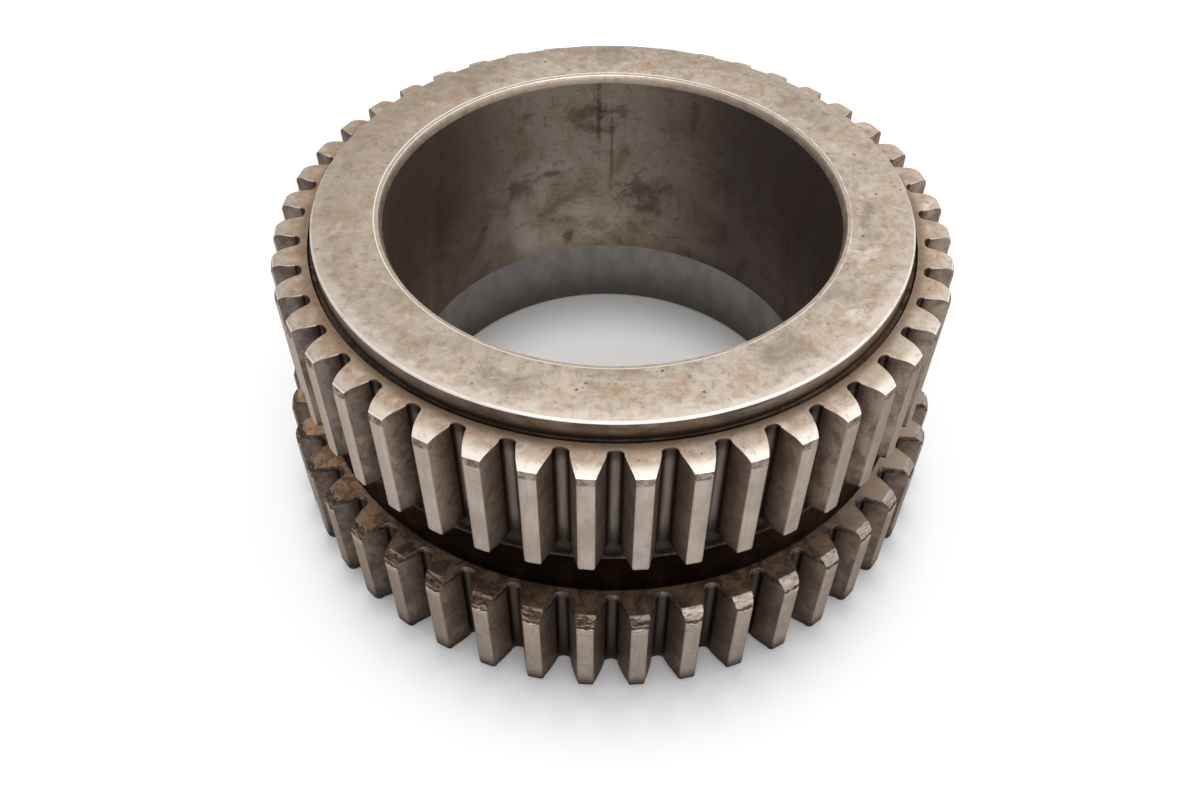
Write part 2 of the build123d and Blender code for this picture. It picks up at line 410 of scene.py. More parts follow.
class Nodes:
    """Short ways to write a material's node tree. Places and sizes are in millimetres."""

    def __init__(self, name):
        self.material = bpy.data.materials.new(name)
        self.material.use_nodes = True
        self.tree = self.material.node_tree
        self.shader = self.tree.nodes["Principled BSDF"]
        place = self.tree.nodes.new("ShaderNodeTexCoord")
        scale = self.tree.nodes.new("ShaderNodeVectorMath")
        scale.operation = "SCALE"
        scale.inputs["Scale"].default_value = 1 / MM
        self.tree.links.new(place.outputs["Object"], scale.inputs[0])
        self.place = scale.outputs[0]

    def link(self, value, socket):
        feed(self.tree, value, socket)

    def maths(self, operation, *values):
        return maths_node(self.tree, operation, *values)

    def plus(self, a, b):
        return self.maths("ADD", a, b)

    def minus(self, a, b):
        return self.maths("SUBTRACT", a, b)

    def times(self, a, b):
        return self.maths("MULTIPLY", a, b)

    def length(self, a, b):
        """Length of the line whose reaches along two axes are a and b."""
        return self.maths("SQRT", self.plus(self.times(a, a), self.times(b, b)))

    def stretched(self, x, y, z):
        """Place scaled along each axis: a share under 1 makes what is drawn with it longer that way."""
        node = self.tree.nodes.new("ShaderNodeMapping")
        self.link(self.place, node.inputs["Vector"])
        node.inputs["Scale"].default_value = (x, y, z)
        return node.outputs[0]

    def split(self):
        node = self.tree.nodes.new("ShaderNodeSeparateXYZ")
        self.link(self.place, node.inputs[0])
        return node.outputs

    def radius(self):
        x, y, _ = self.split()
        return self.length(x, y)

    def gap_offset(self):
        """Distance in millimetres from the middle of the nearest gap, measured round the roots."""
        x, y, _ = self.split()
        turn = self.maths("ARCTAN2", x, self.times(y, -1.0))
        phase = self.maths("FRACT", self.plus(self.maths("DIVIDE", turn, PITCH_ANGLE), float(TEETH)))
        off = self.maths("ABSOLUTE", self.minus(phase, 0.5))
        return self.times(off, PITCH_ANGLE * UPPER["root"])

    def noise(self, size, detail=4.0, roughness=0.55, vector=None, distortion=0.0):
        """Noise from 0 to 1 whose blobs are about size millimetres across."""
        node = self.tree.nodes.new("ShaderNodeTexNoise")
        self.link(self.place if vector is None else vector, node.inputs["Vector"])
        node.inputs["Scale"].default_value = 1 / size
        node.inputs["Detail"].default_value = detail
        node.inputs["Roughness"].default_value = roughness
        node.inputs["Distortion"].default_value = distortion
        return node.outputs[0]

    def streaks(self):
        """Fine lines along the axis, as a cutter leaves them."""
        return self.noise(0.8, 4, 0.6, self.stretched(1, 1, 0.06))

    def spots(self, size):
        """Distance from the nearest of many points, scattered about a size apart, as a share of that size."""
        node = self.tree.nodes.new("ShaderNodeTexVoronoi")
        self.link(self.place, node.inputs["Vector"])
        node.inputs["Scale"].default_value = 1 / size
        return node.outputs["Distance"]

    def step(self, value, low, high, to_low=0.0, to_high=1.0):
        """Smooth step between two limits of a value, which may fall as well as rise."""
        node = self.tree.nodes.new("ShaderNodeMapRange")
        node.interpolation_type = "SMOOTHSTEP"
        self.link(value, node.inputs["Value"])
        for name, number in zip(("From Min", "From Max", "To Min", "To Max"), (low, high, to_low, to_high)):
            node.inputs[name].default_value = number
        return node.outputs[0]

    def vary(self, noise, low, high):
        """Value that follows a noise, from low where the noise is low to high where it is high."""
        return self.step(noise, 0.3, 0.7, low, high)

    def ramp(self, value, stops):
        """Colour ramp from (place, colour) stops."""
        node = self.tree.nodes.new("ShaderNodeValToRGB")
        self.link(value, node.inputs[0])
        elements = node.color_ramp.elements
        while len(elements) < len(stops):
            elements.new(0.5)
        for element, (where, colour) in zip(elements, stops):
            element.position = where
            element.color = (*colour, 1)
        return node.outputs[0]

    def paint(self, colour, socket):
        """Give a colour input either a colour or the output that makes one."""
        self.link((*colour, 1) if isinstance(colour, tuple) else colour, socket)

    def mix(self, factor, a, b):
        """Colour between a, where the factor is 0, and b, where it is 1."""
        node = self.tree.nodes.new("ShaderNodeMix")
        node.data_type = "RGBA"
        self.link(factor, node.inputs["Factor"])
        self.paint(a, node.inputs[MIX_A])
        self.paint(b, node.inputs[MIX_B])
        return node.outputs[MIX_RESULT]

    def two_tone(self, cloud, light, dark, softness=0.12):
        """Light and dark clouds. The smaller the softness, the harder the line between them."""
        return self.mix(self.step(cloud, 0.5 - softness, 0.5 + softness), light, dark)

    def bump(self, height, distance):
        node = self.tree.nodes.new("ShaderNodeBump")
        self.link(height, node.inputs["Height"])
        node.inputs["Distance"].default_value = distance * MM
        return node.outputs[0]

    def blob(self, direction, height, half_width, half_height, ragged):
        """Ragged spot on the bore wall, in a direction in degrees from +Y towards +X."""
        x, y, z = self.split()
        turn = math.radians(direction)
        along = self.plus(self.times(x, math.cos(turn)), self.times(y, -math.sin(turn)))
        far = self.plus(self.times(x, math.sin(turn)), self.times(y, math.cos(turn)))
        across = self.maths("DIVIDE", along, half_width)
        up = self.maths("DIVIDE", self.minus(z, height), half_height)
        ruffle = self.times(self.minus(self.noise(3.5, 6, 0.72), 0.5), 3 * ragged)
        spot = self.step(self.plus(self.length(across, up), ruffle), 1.3, 0.3)
        return self.times(spot, self.maths("GREATER_THAN", far, 0.0))

    def finish(self, colour, metallic, roughness, normal):
        """The finished material, with each value or output on its own input of the shader."""
        self.paint(colour, self.shader.inputs["Base Color"])
        self.paint(GRAZING_TINT, self.shader.inputs["Specular Tint"])
        self.link(metallic, self.shader.inputs["Metallic"])
        self.link(roughness, self.shader.inputs["Roughness"])
        self.link(normal, self.shader.inputs["Normal"])
        return self.material


# ---------------------------------------------------------------- materials
# The front of the ring is towards -Y, and its right towards +X. A step gives its last two numbers at the two
# limits before them.
STEEL = (0.58, 0.50, 0.415)
TAN = (0.50, 0.39, 0.29)
GREY = (0.37, 0.325, 0.285)
PALE = (0.74, 0.66, 0.58)
RUST = (0.36, 0.20, 0.105)
GRIME = (0.10, 0.075, 0.055)
BARE = (0.66, 0.58, 0.50)
GRAZING_TINT = (0.55, 0.49, 0.44)

# Metallic share of the surface, by what lies on the steel.
OILED = 1.0
RUBBED = 0.9
USED = 0.85
STAINED = 0.75
DIRTY = 0.6


def darker(colour, share):
    return tuple(share * part for part in colour)


def blotched(n, size, stops, dirt, amount):
    """Cloudy colour with finer, darker mottling over it and a few dark specks."""
    colour = n.ramp(n.noise(size, 7, 0.6, distortion=0.7), stops)
    colour = n.mix(n.step(n.noise(size / 5, 7, 0.72), 0.46, 0.72, 0, amount), colour, dirt)
    colour = n.mix(n.step(n.noise(size / 14, 5, 0.7), 0.52, 0.74, 0, amount), colour, dirt)
    specks = n.times(n.step(n.spots(3.6), 0.11, 0.03), n.step(n.noise(6), 0.52, 0.62))
    return n.mix(specks, colour, GRIME)


def upper_top():
    """Upper face of the teeth: rust tints, painted shade towards the rim and on the left, and a painted
    highlight on the outer ends of the teeth, strongest in front.
    """
    n = Nodes("upper_top")
    stops = [(0.32, GREY), (0.42, STEEL), (0.55, TAN), (0.66, PALE)]
    colour = blotched(n, 9, stops, (0.29, 0.225, 0.17), 0.5)
    radius = n.radius()
    x, y, _ = n.split()
    inwards = n.step(radius, UPPER["tip"] - 1.5, UPPER["root"] + 1.0)
    rust = n.times(inwards, n.step(n.noise(4, 5, 0.65), 0.34, 0.60, 0.05, 0.9))
    colour = n.mix(n.times(rust, n.step(x, -50.0, 20.0, 0.8, 0.35)), colour, RUST)
    # Painted shade where the face rolls down towards the relief at the rim's foot.
    colour = n.mix(n.step(radius, RIM_RADIUS + 5.2, RIM_RADIUS + 2.1, 0, 0.75), colour, (0.19, 0.13, 0.085))
    pits = n.times(n.step(n.spots(1.7), 0.24, 0.10), n.step(n.noise(4), 0.48, 0.60, 0, 0.7))
    colour = n.mix(pits, colour, GRIME)
    # Painted highlight on the outer ends of the teeth, strongest in front.
    front = n.step(n.plus(y, n.times(x, -0.25)), -45.0, -80.0)
    outer = n.step(radius, UPPER["pitch"] - 1.0, UPPER["tip"] - 1.4)
    colour = n.mix(n.times(outer, n.step(front, 0.0, 1.0, 0.35, 1.0)), colour, (0.88, 0.79, 0.69))
    colour = n.mix(n.step(n.noise(1.8, 5, 0.7), 0.52, 0.66, 0, 0.42), colour, (0.36, 0.28, 0.21))
    # Painted shade on the left.
    colour = n.mix(n.step(x, -25.0, -70.0, 0, 0.2), colour, (0.36, 0.27, 0.19))
    return n.finish(colour, USED, n.vary(n.noise(4, 5), 0.36, 0.55), n.bump(n.noise(0.9, 6, 0.7), 0.05))


def rim_top():
    """Flat top of the rim: blotches of grey, tan and pale steel, fine specks, and scratches both ways. It has
    painted shade on the left, and a painted highlight along its outer edge in front."""
    n = Nodes("rim_top")
    brown, dull = (0.34, 0.28, 0.225), (0.47, 0.395, 0.32)
    stops = [(0.30, brown), (0.41, dull), (0.50, STEEL), (0.59, TAN), (0.70, PALE)]
    colour = blotched(n, 13, stops, (0.24, 0.18, 0.135), 0.62)
    rust = n.times(n.step(n.noise(9, 6, 0.62), 0.52, 0.68), 0.55)
    colour = n.mix(rust, colour, (0.43, 0.265, 0.165))
    faded = n.times(n.step(n.noise(12, 6, 0.66, distortion=0.3), 0.52, 0.64), 0.35)
    colour = n.mix(faded, colour, PALE)
    for along, across in ((0.12, 1.8), (1.6, 0.15)):
        scratches = n.noise(1.6, 5, 0.7, n.stretched(along, across, 1), 0.4)
        colour = n.mix(n.step(scratches, 0.60, 0.70, 0, 0.4), colour, (0.24, 0.185, 0.14))
    pits = n.times(n.step(n.spots(2.6), 0.24, 0.10), n.step(n.noise(6), 0.53, 0.62, 0, 0.8))
    colour = n.mix(pits, colour, GRIME)
    glints = n.step(n.noise(1.3, 5, 0.7, n.stretched(0.2, 1.4, 1), 0.3), 0.62, 0.70, 0, 0.6)
    colour = n.mix(glints, colour, (0.85, 0.78, 0.70))
    x, y, _ = n.split()
    # Painted shade on the left, with a ragged edge.
    drift = n.plus(x, n.vary(n.noise(14, 6, 0.7), -28.0, 28.0))
    colour = n.mix(n.step(drift, -15.0, -65.0, 0, 0.42), colour, (0.35, 0.265, 0.195))
    # Painted highlight along the outer edge, strongest in front.
    ragged = n.plus(n.radius(), n.vary(n.noise(5, 6, 0.7), -2.2, 2.2))
    outer = n.step(ragged, RIM_RADIUS - 4.5, RIM_RADIUS - 0.9, 0, 0.65)
    colour = n.mix(n.times(outer, n.step(y, 0.0, -60.0, 0.3, 1.0)), colour, PALE)
    return n.finish(colour, USED, n.vary(n.noise(6, 5), 0.33, 0.52), n.bump(n.noise(1.1, 6, 0.7), 0.05))


def rubbed_edge_and_highlight(name, axis, strong, weak):
    """Narrow bright edge of rubbed steel with a painted highlight, which fades and breaks up from its strong
    end to its weak one, along X or Y.
    """
    n = Nodes(name)
    # Painted highlight: the bright tone fades and breaks up towards the weak end.
    fade = n.step(n.split()["XY".index(axis)], strong, weak)
    broken = n.plus(n.noise(7, 5, 0.7), n.times(fade, -0.20))
    colour = n.mix(n.step(broken, 0.16, 0.48), (0.46, 0.385, 0.315), (0.90, 0.84, 0.77))
    return n.finish(colour, RUBBED, n.vary(broken, 0.42, 0.30), n.bump(n.noise(0.8, 5), 0.03))


def bare(name, colour, rough):
    """Small rubbed edge of bare steel."""
    n = Nodes(name)
    tone = n.mix(n.step(n.noise(2.5, 5), 0.42, 0.75, 0, 0.7), colour, darker(colour, 0.62))
    gloss = n.vary(n.noise(3), rough - 0.06, rough + 0.1)
    return n.finish(tone, RUBBED, gloss, n.bump(n.noise(0.8, 5), 0.03))


def cut_side(name, light, dark, rough=0.42, foot_shade=0.0):
    """Cut face with faint streaks along the axis, and an amount of painted shade at its foot."""
    n = Nodes(name)
    streaks = n.streaks()
    cloud = n.noise(6, 6, 0.65, n.stretched(1, 1, 0.6))
    colour = n.two_tone(cloud, light, dark, 0.14)
    colour = n.mix(n.step(streaks, 0.48, 0.75, 0, 0.1), colour, darker(dark, 0.4))
    # Painted shade towards the foot.
    colour = n.mix(n.step(n.split()[2], BAND_TOP - 4.5, 2.0, 0, foot_shade), colour, darker(dark, 0.35))
    return n.finish(colour, USED, n.vary(cloud, rough - 0.06, rough + 0.1), n.bump(streaks, 0.03))


def rim_wall():
    """Wall round the raised rim: brown, with a painted dark reflection in front, lighter towards both sides,
    and painted shade at its foot.
    """
    n = Nodes("rim_wall")
    cloud = n.noise(5.0, 6, 0.68, n.stretched(0.5, 0.5, 1.6), distortion=0.4)
    x, _, z = n.split()
    # Painted dark reflection in front, lighter towards both sides.
    front = n.two_tone(cloud, (0.20, 0.152, 0.115), (0.115, 0.082, 0.058))
    sides = n.two_tone(cloud, (0.36, 0.29, 0.24), (0.22, 0.17, 0.14))
    colour = n.mix(n.step(n.maths("ABSOLUTE", x), 20.0, 60.0, 0, 0.8), front, sides)
    # Painted shade at the foot of the wall.
    colour = n.mix(n.step(z, UPPER_TOP + 1.8, UPPER_TOP, 0, 0.75), colour, (0.045, 0.03, 0.02))
    return n.finish(colour, USED, n.vary(cloud, 0.40, 0.55), n.bump(n.noise(1.0, 5), 0.03))


def grime_and_painted_shade(name, base, dirt, rough, metal, size):
    """Dull face with patches of dirt. On some faces the dark base colour is painted shade."""
    n = Nodes(name)
    cloud = n.noise(size, 6, 0.68, distortion=0.5)
    colour = n.two_tone(cloud, base, dirt, 0.10)
    grain = n.bump(n.noise(1.0, 6, 0.7), 0.06)
    return n.finish(colour, metal, n.vary(cloud, rough - 0.1, rough + 0.1), grain)


def painted_recess_shade(name, front, sides):
    """Painted shade in a recess: nearly black in front and browner towards both sides, with darker clouds."""
    n = Nodes(name)
    cloud = n.noise(4.0, 6, 0.68, distortion=0.5)
    # Painted shade: darkest in front, lighter towards both sides.
    colour = n.mix(n.step(n.maths("ABSOLUTE", n.split()[0]), 25.0, 65.0), front, sides)
    colour = n.mix(n.step(cloud, 0.42, 0.62, 0, 0.6), colour, darker(front, 0.4))
    return n.finish(colour, OILED, n.vary(cloud, 0.45, 0.65), n.bump(n.noise(1.0, 6, 0.7), 0.06))


def shoulder():
    """Thin shoulder under the gaps of the upper row: nearly black with painted shade, and a painted highlight
    towards the root.
    """
    n = Nodes("root_shoulder")
    cloud = n.noise(1.5, 6, 0.7)
    # Nearly black with painted shade, in clouds.
    colour = n.mix(n.step(cloud, 0.40, 0.62), (0.05, 0.04, 0.032), (0.025, 0.019, 0.015))
    # Painted highlight where the shoulder rises to the root.
    highlit = n.step(n.radius(), UPPER["root"] + 3.3, UPPER["root"] + 1.6)
    colour = n.mix(highlit, colour, (0.17, 0.145, 0.125))
    return n.finish(colour, RUBBED, n.vary(cloud, 0.42, 0.58), n.bump(cloud, 0.05))


def outer_face():
    """Outer faces of the teeth: lightest in front, with browner painted shade towards the sides and the back
    and painted light on the left. The lower row is more scuffed, browner on the left, and darkens at its foot
    into painted contact shade."""
    n = Nodes("land")
    cloud = n.noise(6, 6, 0.65, n.stretched(1, 1, 0.6))
    colour = n.two_tone(cloud, (0.43, 0.37, 0.32), (0.35, 0.295, 0.25), 0.14)
    colour = n.mix(n.step(n.streaks(), 0.48, 0.75, 0, 0.2), colour, (0.15, 0.12, 0.10))
    x, y, z = n.split()
    # Painted shade towards the sides and the back.
    colour = n.mix(n.step(y, -86.0, -50.0, 0, 0.55), colour, (0.24, 0.195, 0.16))
    # Painted light on the left.
    colour = n.mix(n.step(x, -25.0, -60.0, 0, 0.8), colour, (0.46, 0.39, 0.335))
    row_top = (LOWER_TOP + 0.5, LOWER_TOP - 0.5)
    scuffs = n.times(n.step(n.noise(1.6, 6, 0.75), 0.56, 0.66), n.step(z, *row_top, 0.15, 0.6))
    colour = n.mix(scuffs, colour, (0.14, 0.105, 0.085))
    brown = n.times(n.step(z, *row_top), n.step(x, -10.0, -50.0, 0.2, 0.7))
    colour = n.mix(brown, colour, (0.22, 0.17, 0.13))
    # Painted contact shade at the foot.
    colour = n.mix(n.step(z, 8.0, 2.0, 0, 0.9), colour, (0.055, 0.042, 0.034))
    return n.finish(colour, USED, n.vary(cloud, 0.32, 0.48), n.bump(n.noise(1.0, 6, 0.7), 0.05))


def flank_side():
    """Sides of the teeth: mottled grey brown, with painted light to the left of the middle, where they are
    lightest. They have painted shade at the far left, at the upper roots and at the foot of each row, and are
    darker on the lower row."""
    n = Nodes("flank")
    cloud = n.noise(5, 6, 0.68, n.stretched(1, 1, 0.7), distortion=0.4)
    x, _, z = n.split()
    # Painted light to the left of the middle, and painted shade at the far left.
    left = n.step(x, 5.0, -28.0)
    dull = n.two_tone(cloud, (0.29, 0.225, 0.178), (0.165, 0.122, 0.093))
    light = n.two_tone(cloud, (0.35, 0.28, 0.227), (0.19, 0.147, 0.115))
    far_left_shade = n.two_tone(cloud, (0.20, 0.163, 0.135), (0.11, 0.085, 0.068))
    colour = n.mix(n.step(x, -38.0, -68.0), n.mix(left, dull, light), far_left_shade)
    # Painted shade at the upper roots.
    roots = n.step(n.radius(), UPPER["root"] + 3.5, UPPER["root"] + 1.2, 0, 0.5)
    colour = n.mix(roots, colour, (0.07, 0.052, 0.042))
    patches = n.times(n.step(n.noise(2.2, 6, 0.72), 0.55, 0.66), 0.6)
    colour = n.mix(patches, colour, (0.10, 0.065, 0.045))
    # Darker on the lower row, with more painted shade away from the left.
    low = n.times(n.step(z, LOWER_TOP + 6.5, LOWER_TOP - 1.5), n.step(left, 1.0, 0.0, 0.3, 0.45))
    colour = n.mix(low, colour, (0.05, 0.036, 0.028))
    # Painted shade at the foot of each row.
    lower_foot = n.step(z, 10.0, 0.0, 0, 0.6)
    upper_foot = n.step(z, UPPER_BOTTOM + 8.0, UPPER_BOTTOM, 0, 0.5)
    upper_foot = n.times(upper_foot, n.step(z, UPPER_BOTTOM - 9.0, UPPER_BOTTOM - 4.0))
    colour = n.mix(n.maths("MAXIMUM", lower_foot, upper_foot), colour, (0.04, 0.03, 0.024))
    return n.finish(colour, USED, n.vary(cloud, 0.36, 0.52), n.bump(n.noise(1.2, 6, 0.7), 0.05))


def root_side():
    """Bottom of the gaps: painted shade towards both flanks around a lighter middle, oily near the upper face
    and on the lower row, and painted shade towards the lower row's foot.
    """
    n = Nodes("root")
    streaks = n.streaks()
    colour = n.mix(n.step(streaks, 0.40, 0.70), (0.175, 0.148, 0.128), (0.12, 0.10, 0.086))
    # Painted shade towards both flanks, leaving a painted highlight down the middle of the root.
    colour = n.mix(n.step(n.gap_offset(), 0.15, 1.7), colour, (0.06, 0.046, 0.037))
    z = n.split()[2]
    colour = n.mix(n.step(z, UPPER_TOP - 5.5, UPPER_TOP - 1.5, 0, 0.85), colour, (0.03, 0.021, 0.016))
    # Oily on the lower row, and painted shade towards the lower row's foot.
    for high, low, amount in ((LOWER_TOP + 3.0, LOWER_TOP, 0.72), (20.0, 4.0, 0.6)):
        colour = n.mix(n.step(z, high, low, 0, amount), colour, (0.02, 0.015, 0.012))
    return n.finish(colour, USED, 0.38, n.bump(streaks, 0.03))


def lower_top():
    """Upper face of the lower teeth: brown and oily, rusty on the left and tan on the right."""
    n = Nodes("lower_top")
    cloud = n.noise(4, 6, 0.68, distortion=0.5)
    colour = n.two_tone(cloud, (0.125, 0.078, 0.048), (0.042, 0.026, 0.018), 0.10)
    rust = n.mix(n.step(cloud, 0.40, 0.62), (0.42, 0.27, 0.155), (0.20, 0.11, 0.06))
    x = n.split()[0]
    colour = n.mix(n.step(x, -45.0, -80.0), colour, rust)
    colour = n.mix(n.step(x, 55.0, 85.0), colour, (0.36, 0.27, 0.20))
    return n.finish(colour, DIRTY, n.vary(cloud, 0.45, 0.62), n.bump(n.noise(1.0, 6, 0.7), 0.08))


def worn_ends():
    """Chewed upper ends of the lower teeth: dark and smeared, with a painted highlight on the worn facets on
    the right.
    """
    n = Nodes("worn")
    smears = n.noise(0.9, 6, 0.72, n.stretched(0.45, 0.45, 2.2), 0.6)
    oil, brown, edge_tone = (0.035, 0.023, 0.016), (0.095, 0.063, 0.043), (0.34, 0.275, 0.22)
    dark = n.ramp(smears, [(0.40, oil), (0.55, brown), (0.68, edge_tone)])
    dull, grey, bright = (0.17, 0.14, 0.115), (0.34, 0.29, 0.25), (0.50, 0.44, 0.385)
    highlit = n.ramp(smears, [(0.34, dull), (0.48, grey), (0.68, bright)])
    x, _, z = n.split()
    place = n.plus(z, n.vary(n.noise(1.5, 4), -0.35, 0.35))
    # Painted highlight: the facets turn bright towards the right, above the ridge and, further right, below
    # it.
    above_ridge = n.step(place, RIDGE_HEIGHT + 0.7, RIDGE_HEIGHT + 1.1)
    colour = n.mix(n.times(above_ridge, n.step(x, 11.0, 20.0)), dark, highlit)
    from_ridge = n.step(place, RIDGE_HEIGHT - 0.4, RIDGE_HEIGHT)
    colour = n.mix(n.times(from_ridge, n.step(x, 20.0, 30.0)), colour, highlit)
    ridge = n.step(place, RIDGE_HEIGHT - 0.3, RIDGE_HEIGHT - 0.1)
    ridge = n.times(ridge, n.step(place, RIDGE_HEIGHT + 0.2, RIDGE_HEIGHT - 0.05, 0, 0.6))
    colour = n.mix(ridge, colour, (0.38, 0.32, 0.27))
    brow = n.times(n.step(place, LOWER_TOP - 0.4, LOWER_TOP - 0.1, 0, 0.5), n.step(x, 24.0, 8.0))
    colour = n.mix(brow, colour, (0.36, 0.30, 0.25))
    edge = n.step(place, WORN_START + 0.1, WORN_START + 0.35)
    edge = n.times(edge, n.step(place, WORN_START + 0.8, WORN_START + 0.5))
    colour = n.mix(edge, colour, (0.52, 0.45, 0.385))
    colour = n.mix(n.step(place, WORN_START + 0.3, WORN_START - 0.1), colour, (0.38, 0.325, 0.28))
    return n.finish(colour, USED, n.vary(smears, 0.58, 0.38), n.bump(smears, 0.08))


# Old stains and runs on the far side of the bore: direction in degrees from +Y towards +X, height, half width
# and half height in millimetres, how ragged the stain is, and how strong.
BORE_STAINS = (
    (-7.5, 76, 1.0, 16.0, 0.9, 0.65),
    (-3.5, 64, 0.7, 14.0, 0.9, 0.50),
    (-11.0, 78, 7.0, 3.0, 1.3, 0.60),
    (-9.0, 72, 6.0, 2.4, 1.3, 0.50),
    (-1.0, 78, 4.5, 2.2, 1.3, 0.50),
    (6.0, 49, 8.5, 5.0, 1.4, 0.60),
    (8.0, 41, 5.5, 2.6, 1.3, 0.45),
    (-8.0, 33, 4.0, 3.5, 1.3, 0.40),
    (-17.0, 29, 2.2, 3.0, 1.0, 0.60),
    (-21.0, 56, 5.0, 1.4, 1.2, 0.60),
    (-32.0, 53, 5.5, 4.0, 1.4, 0.50),
    (-46.0, 43, 1.8, 1.3, 0.7, 0.70),
    (21.0, 79, 1.6, 6.0, 1.2, 0.50),
    (-62.0, 58, 5.0, 14.0, 1.4, 0.60),
    (33.0, 60, 6.0, 6.0, 1.4, 0.40),
)


def bore_wall():
    """Wall of the bore: brown tones and a few old stains, with painted shade towards both sides that leaves
    it lightest at the back left.
    """
    n = Nodes("bore")
    cloud = n.noise(16, 7, 0.62, n.stretched(1, 1, 0.8), distortion=0.8)
    clean, stained, brown = (0.44, 0.39, 0.325), (0.36, 0.31, 0.245), (0.24, 0.18, 0.125)
    colour = n.ramp(cloud, [(0.32, clean), (0.5, stained), (0.66, brown)])
    smears = n.noise(4.0, 7, 0.72, n.stretched(1, 1, 2.6), distortion=0.8)
    colour = n.mix(n.step(smears, 0.50, 0.70, 0, 0.6), colour, (0.12, 0.08, 0.05))
    streaks = n.noise(2.4, 6, 0.7, n.stretched(1, 1, 0.25), distortion=0.5)
    colour = n.mix(n.step(streaks, 0.56, 0.74, 0, 0.65), colour, (0.085, 0.055, 0.035))
    for direction, height, half_width, half_height, ragged, strength in BORE_STAINS:
        spot = n.blob(direction, height, half_width, half_height, ragged)
        colour = n.mix(n.times(spot, strength), colour, (0.06, 0.036, 0.022))
    x, _, z = n.split()
    colour = n.mix(n.step(z, BAND_TOP + 6.0, BAND_TOP, 0, 0.5), colour, (0.20, 0.135, 0.09))
    # Painted shade towards both sides, deepest on the right.
    colour = n.mix(n.step(x, -10.0, 42.0, 0, 0.88), colour, (0.06, 0.042, 0.038))
    colour = n.mix(n.step(x, -22.0, -54.0, 0, 0.8), colour, (0.085, 0.062, 0.046))
    return n.finish(colour, STAINED, n.vary(cloud, 0.42, 0.58), n.bump(n.noise(1.2, 5), 0.03))


# Dull faces: base colour, dirt colour, roughness, metallic share and size of the patches. At the feet of the
# rows and on the shoulder the dark base colour is painted shade.
GRIME_AND_SHADE_FACES = {
    "bevel": ((0.33, 0.275, 0.23), (0.15, 0.11, 0.082), 0.46, USED, 1.8),
    # Painted contact shade on the feet of the lower teeth.
    "foot": ((0.065, 0.05, 0.041), (0.035, 0.027, 0.022), 0.50, USED, 2.0),
    "flank_foot": ((0.07, 0.054, 0.044), (0.035, 0.026, 0.02), 0.55, DIRTY, 5.0),
    "root_foot": ((0.05, 0.038, 0.03), (0.025, 0.018, 0.014), 0.55, DIRTY, 5.0),
    "flank_cap": ((0.10, 0.078, 0.062), (0.04, 0.03, 0.024), 0.48, USED, 1.6),
    "root_cap": ((0.16, 0.13, 0.108), (0.07, 0.055, 0.045), 0.48, USED, 1.6),
    # Painted shade under the upper row.
    "flank_shoulder": ((0.07, 0.055, 0.045), (0.035, 0.026, 0.02), 0.55, DIRTY, 5.0),
    "root_edge": ((0.14, 0.11, 0.09), (0.07, 0.05, 0.04), 0.55, DIRTY, 5.0),
}


def materials():
    """Every finish, by the name that the rings give it."""
    made = {
        "land": outer_face(),
        "flank": flank_side(),
        "root": root_side(),
        "worn": worn_ends(),
        "lower_top": lower_top(),
        "groove": painted_recess_shade("groove", (0.009, 0.0055, 0.0035), (0.035, 0.024, 0.017)),
        "root_shoulder": shoulder(),
        "tooth_edge": rubbed_edge_and_highlight("tooth_edge", "Y", -75.0, 60.0),
        "flank_edge": bare("flank_edge", BARE, 0.38),
        "upper_top": upper_top(),
        "relief": painted_recess_shade("relief", (0.04, 0.027, 0.019), (0.12, 0.085, 0.06)),
        "rim_wall": rim_wall(),
        "rim_edge": rubbed_edge_and_highlight("rim_edge", "Y", -45.0, 25.0),
        "rim_top": rim_top(),
        "bore_line": rubbed_edge_and_highlight("bore_line", "X", 10.0, 75.0),
        "lead_flat": bare("lead_flat", (0.52, 0.43, 0.35), 0.42),
        "lead_in": bare("lead_in", (0.50, 0.41, 0.33), 0.45),
        "bore": bore_wall(),
        "band": cut_side("band", (0.245, 0.232, 0.217), (0.21, 0.198, 0.183), 0.34, 0.5),
        "underside": cut_side("underside", (0.36, 0.32, 0.28), (0.28, 0.24, 0.20)),
    }
    for name, look in GRIME_AND_SHADE_FACES.items():
        made[name] = grime_and_painted_shade(name, *look)
    return made


# ---------------------------------------------------------------- the ring
def strip_faces(low, low_cut, high, high_cut, finish):
    """(corners, finish) of the faces between two rings, given by the numbers of their first points.

    Where the upper ring cuts back one more point of a flank, the face is split along the edge of the cut.
    """
    for i in range(AROUND):
        j = (i + 1) % AROUND
        quad = (low + i, low + j, high + j, high + i)
        if isinstance(finish, str):
            yield quad, finish
            continue
        cut_name, suffix = finish
        side = KINDS[i] + suffix
        if KINDS[i] in ("land", "corner"):
            yield quad, cut_name
        elif not (high_cut[i] and high_cut[j]):
            yield quad, side
        elif low_cut[i] and low_cut[j]:
            yield quad, cut_name
        elif low_cut[i]:
            yield (low + i, low + j, high + j), side
            yield (low + i, high + j, high + i), cut_name
        elif low_cut[j]:
            yield (low + i, low + j, high + i), side
            yield (low + j, high + j, high + i), cut_name
        else:
            yield quad, side


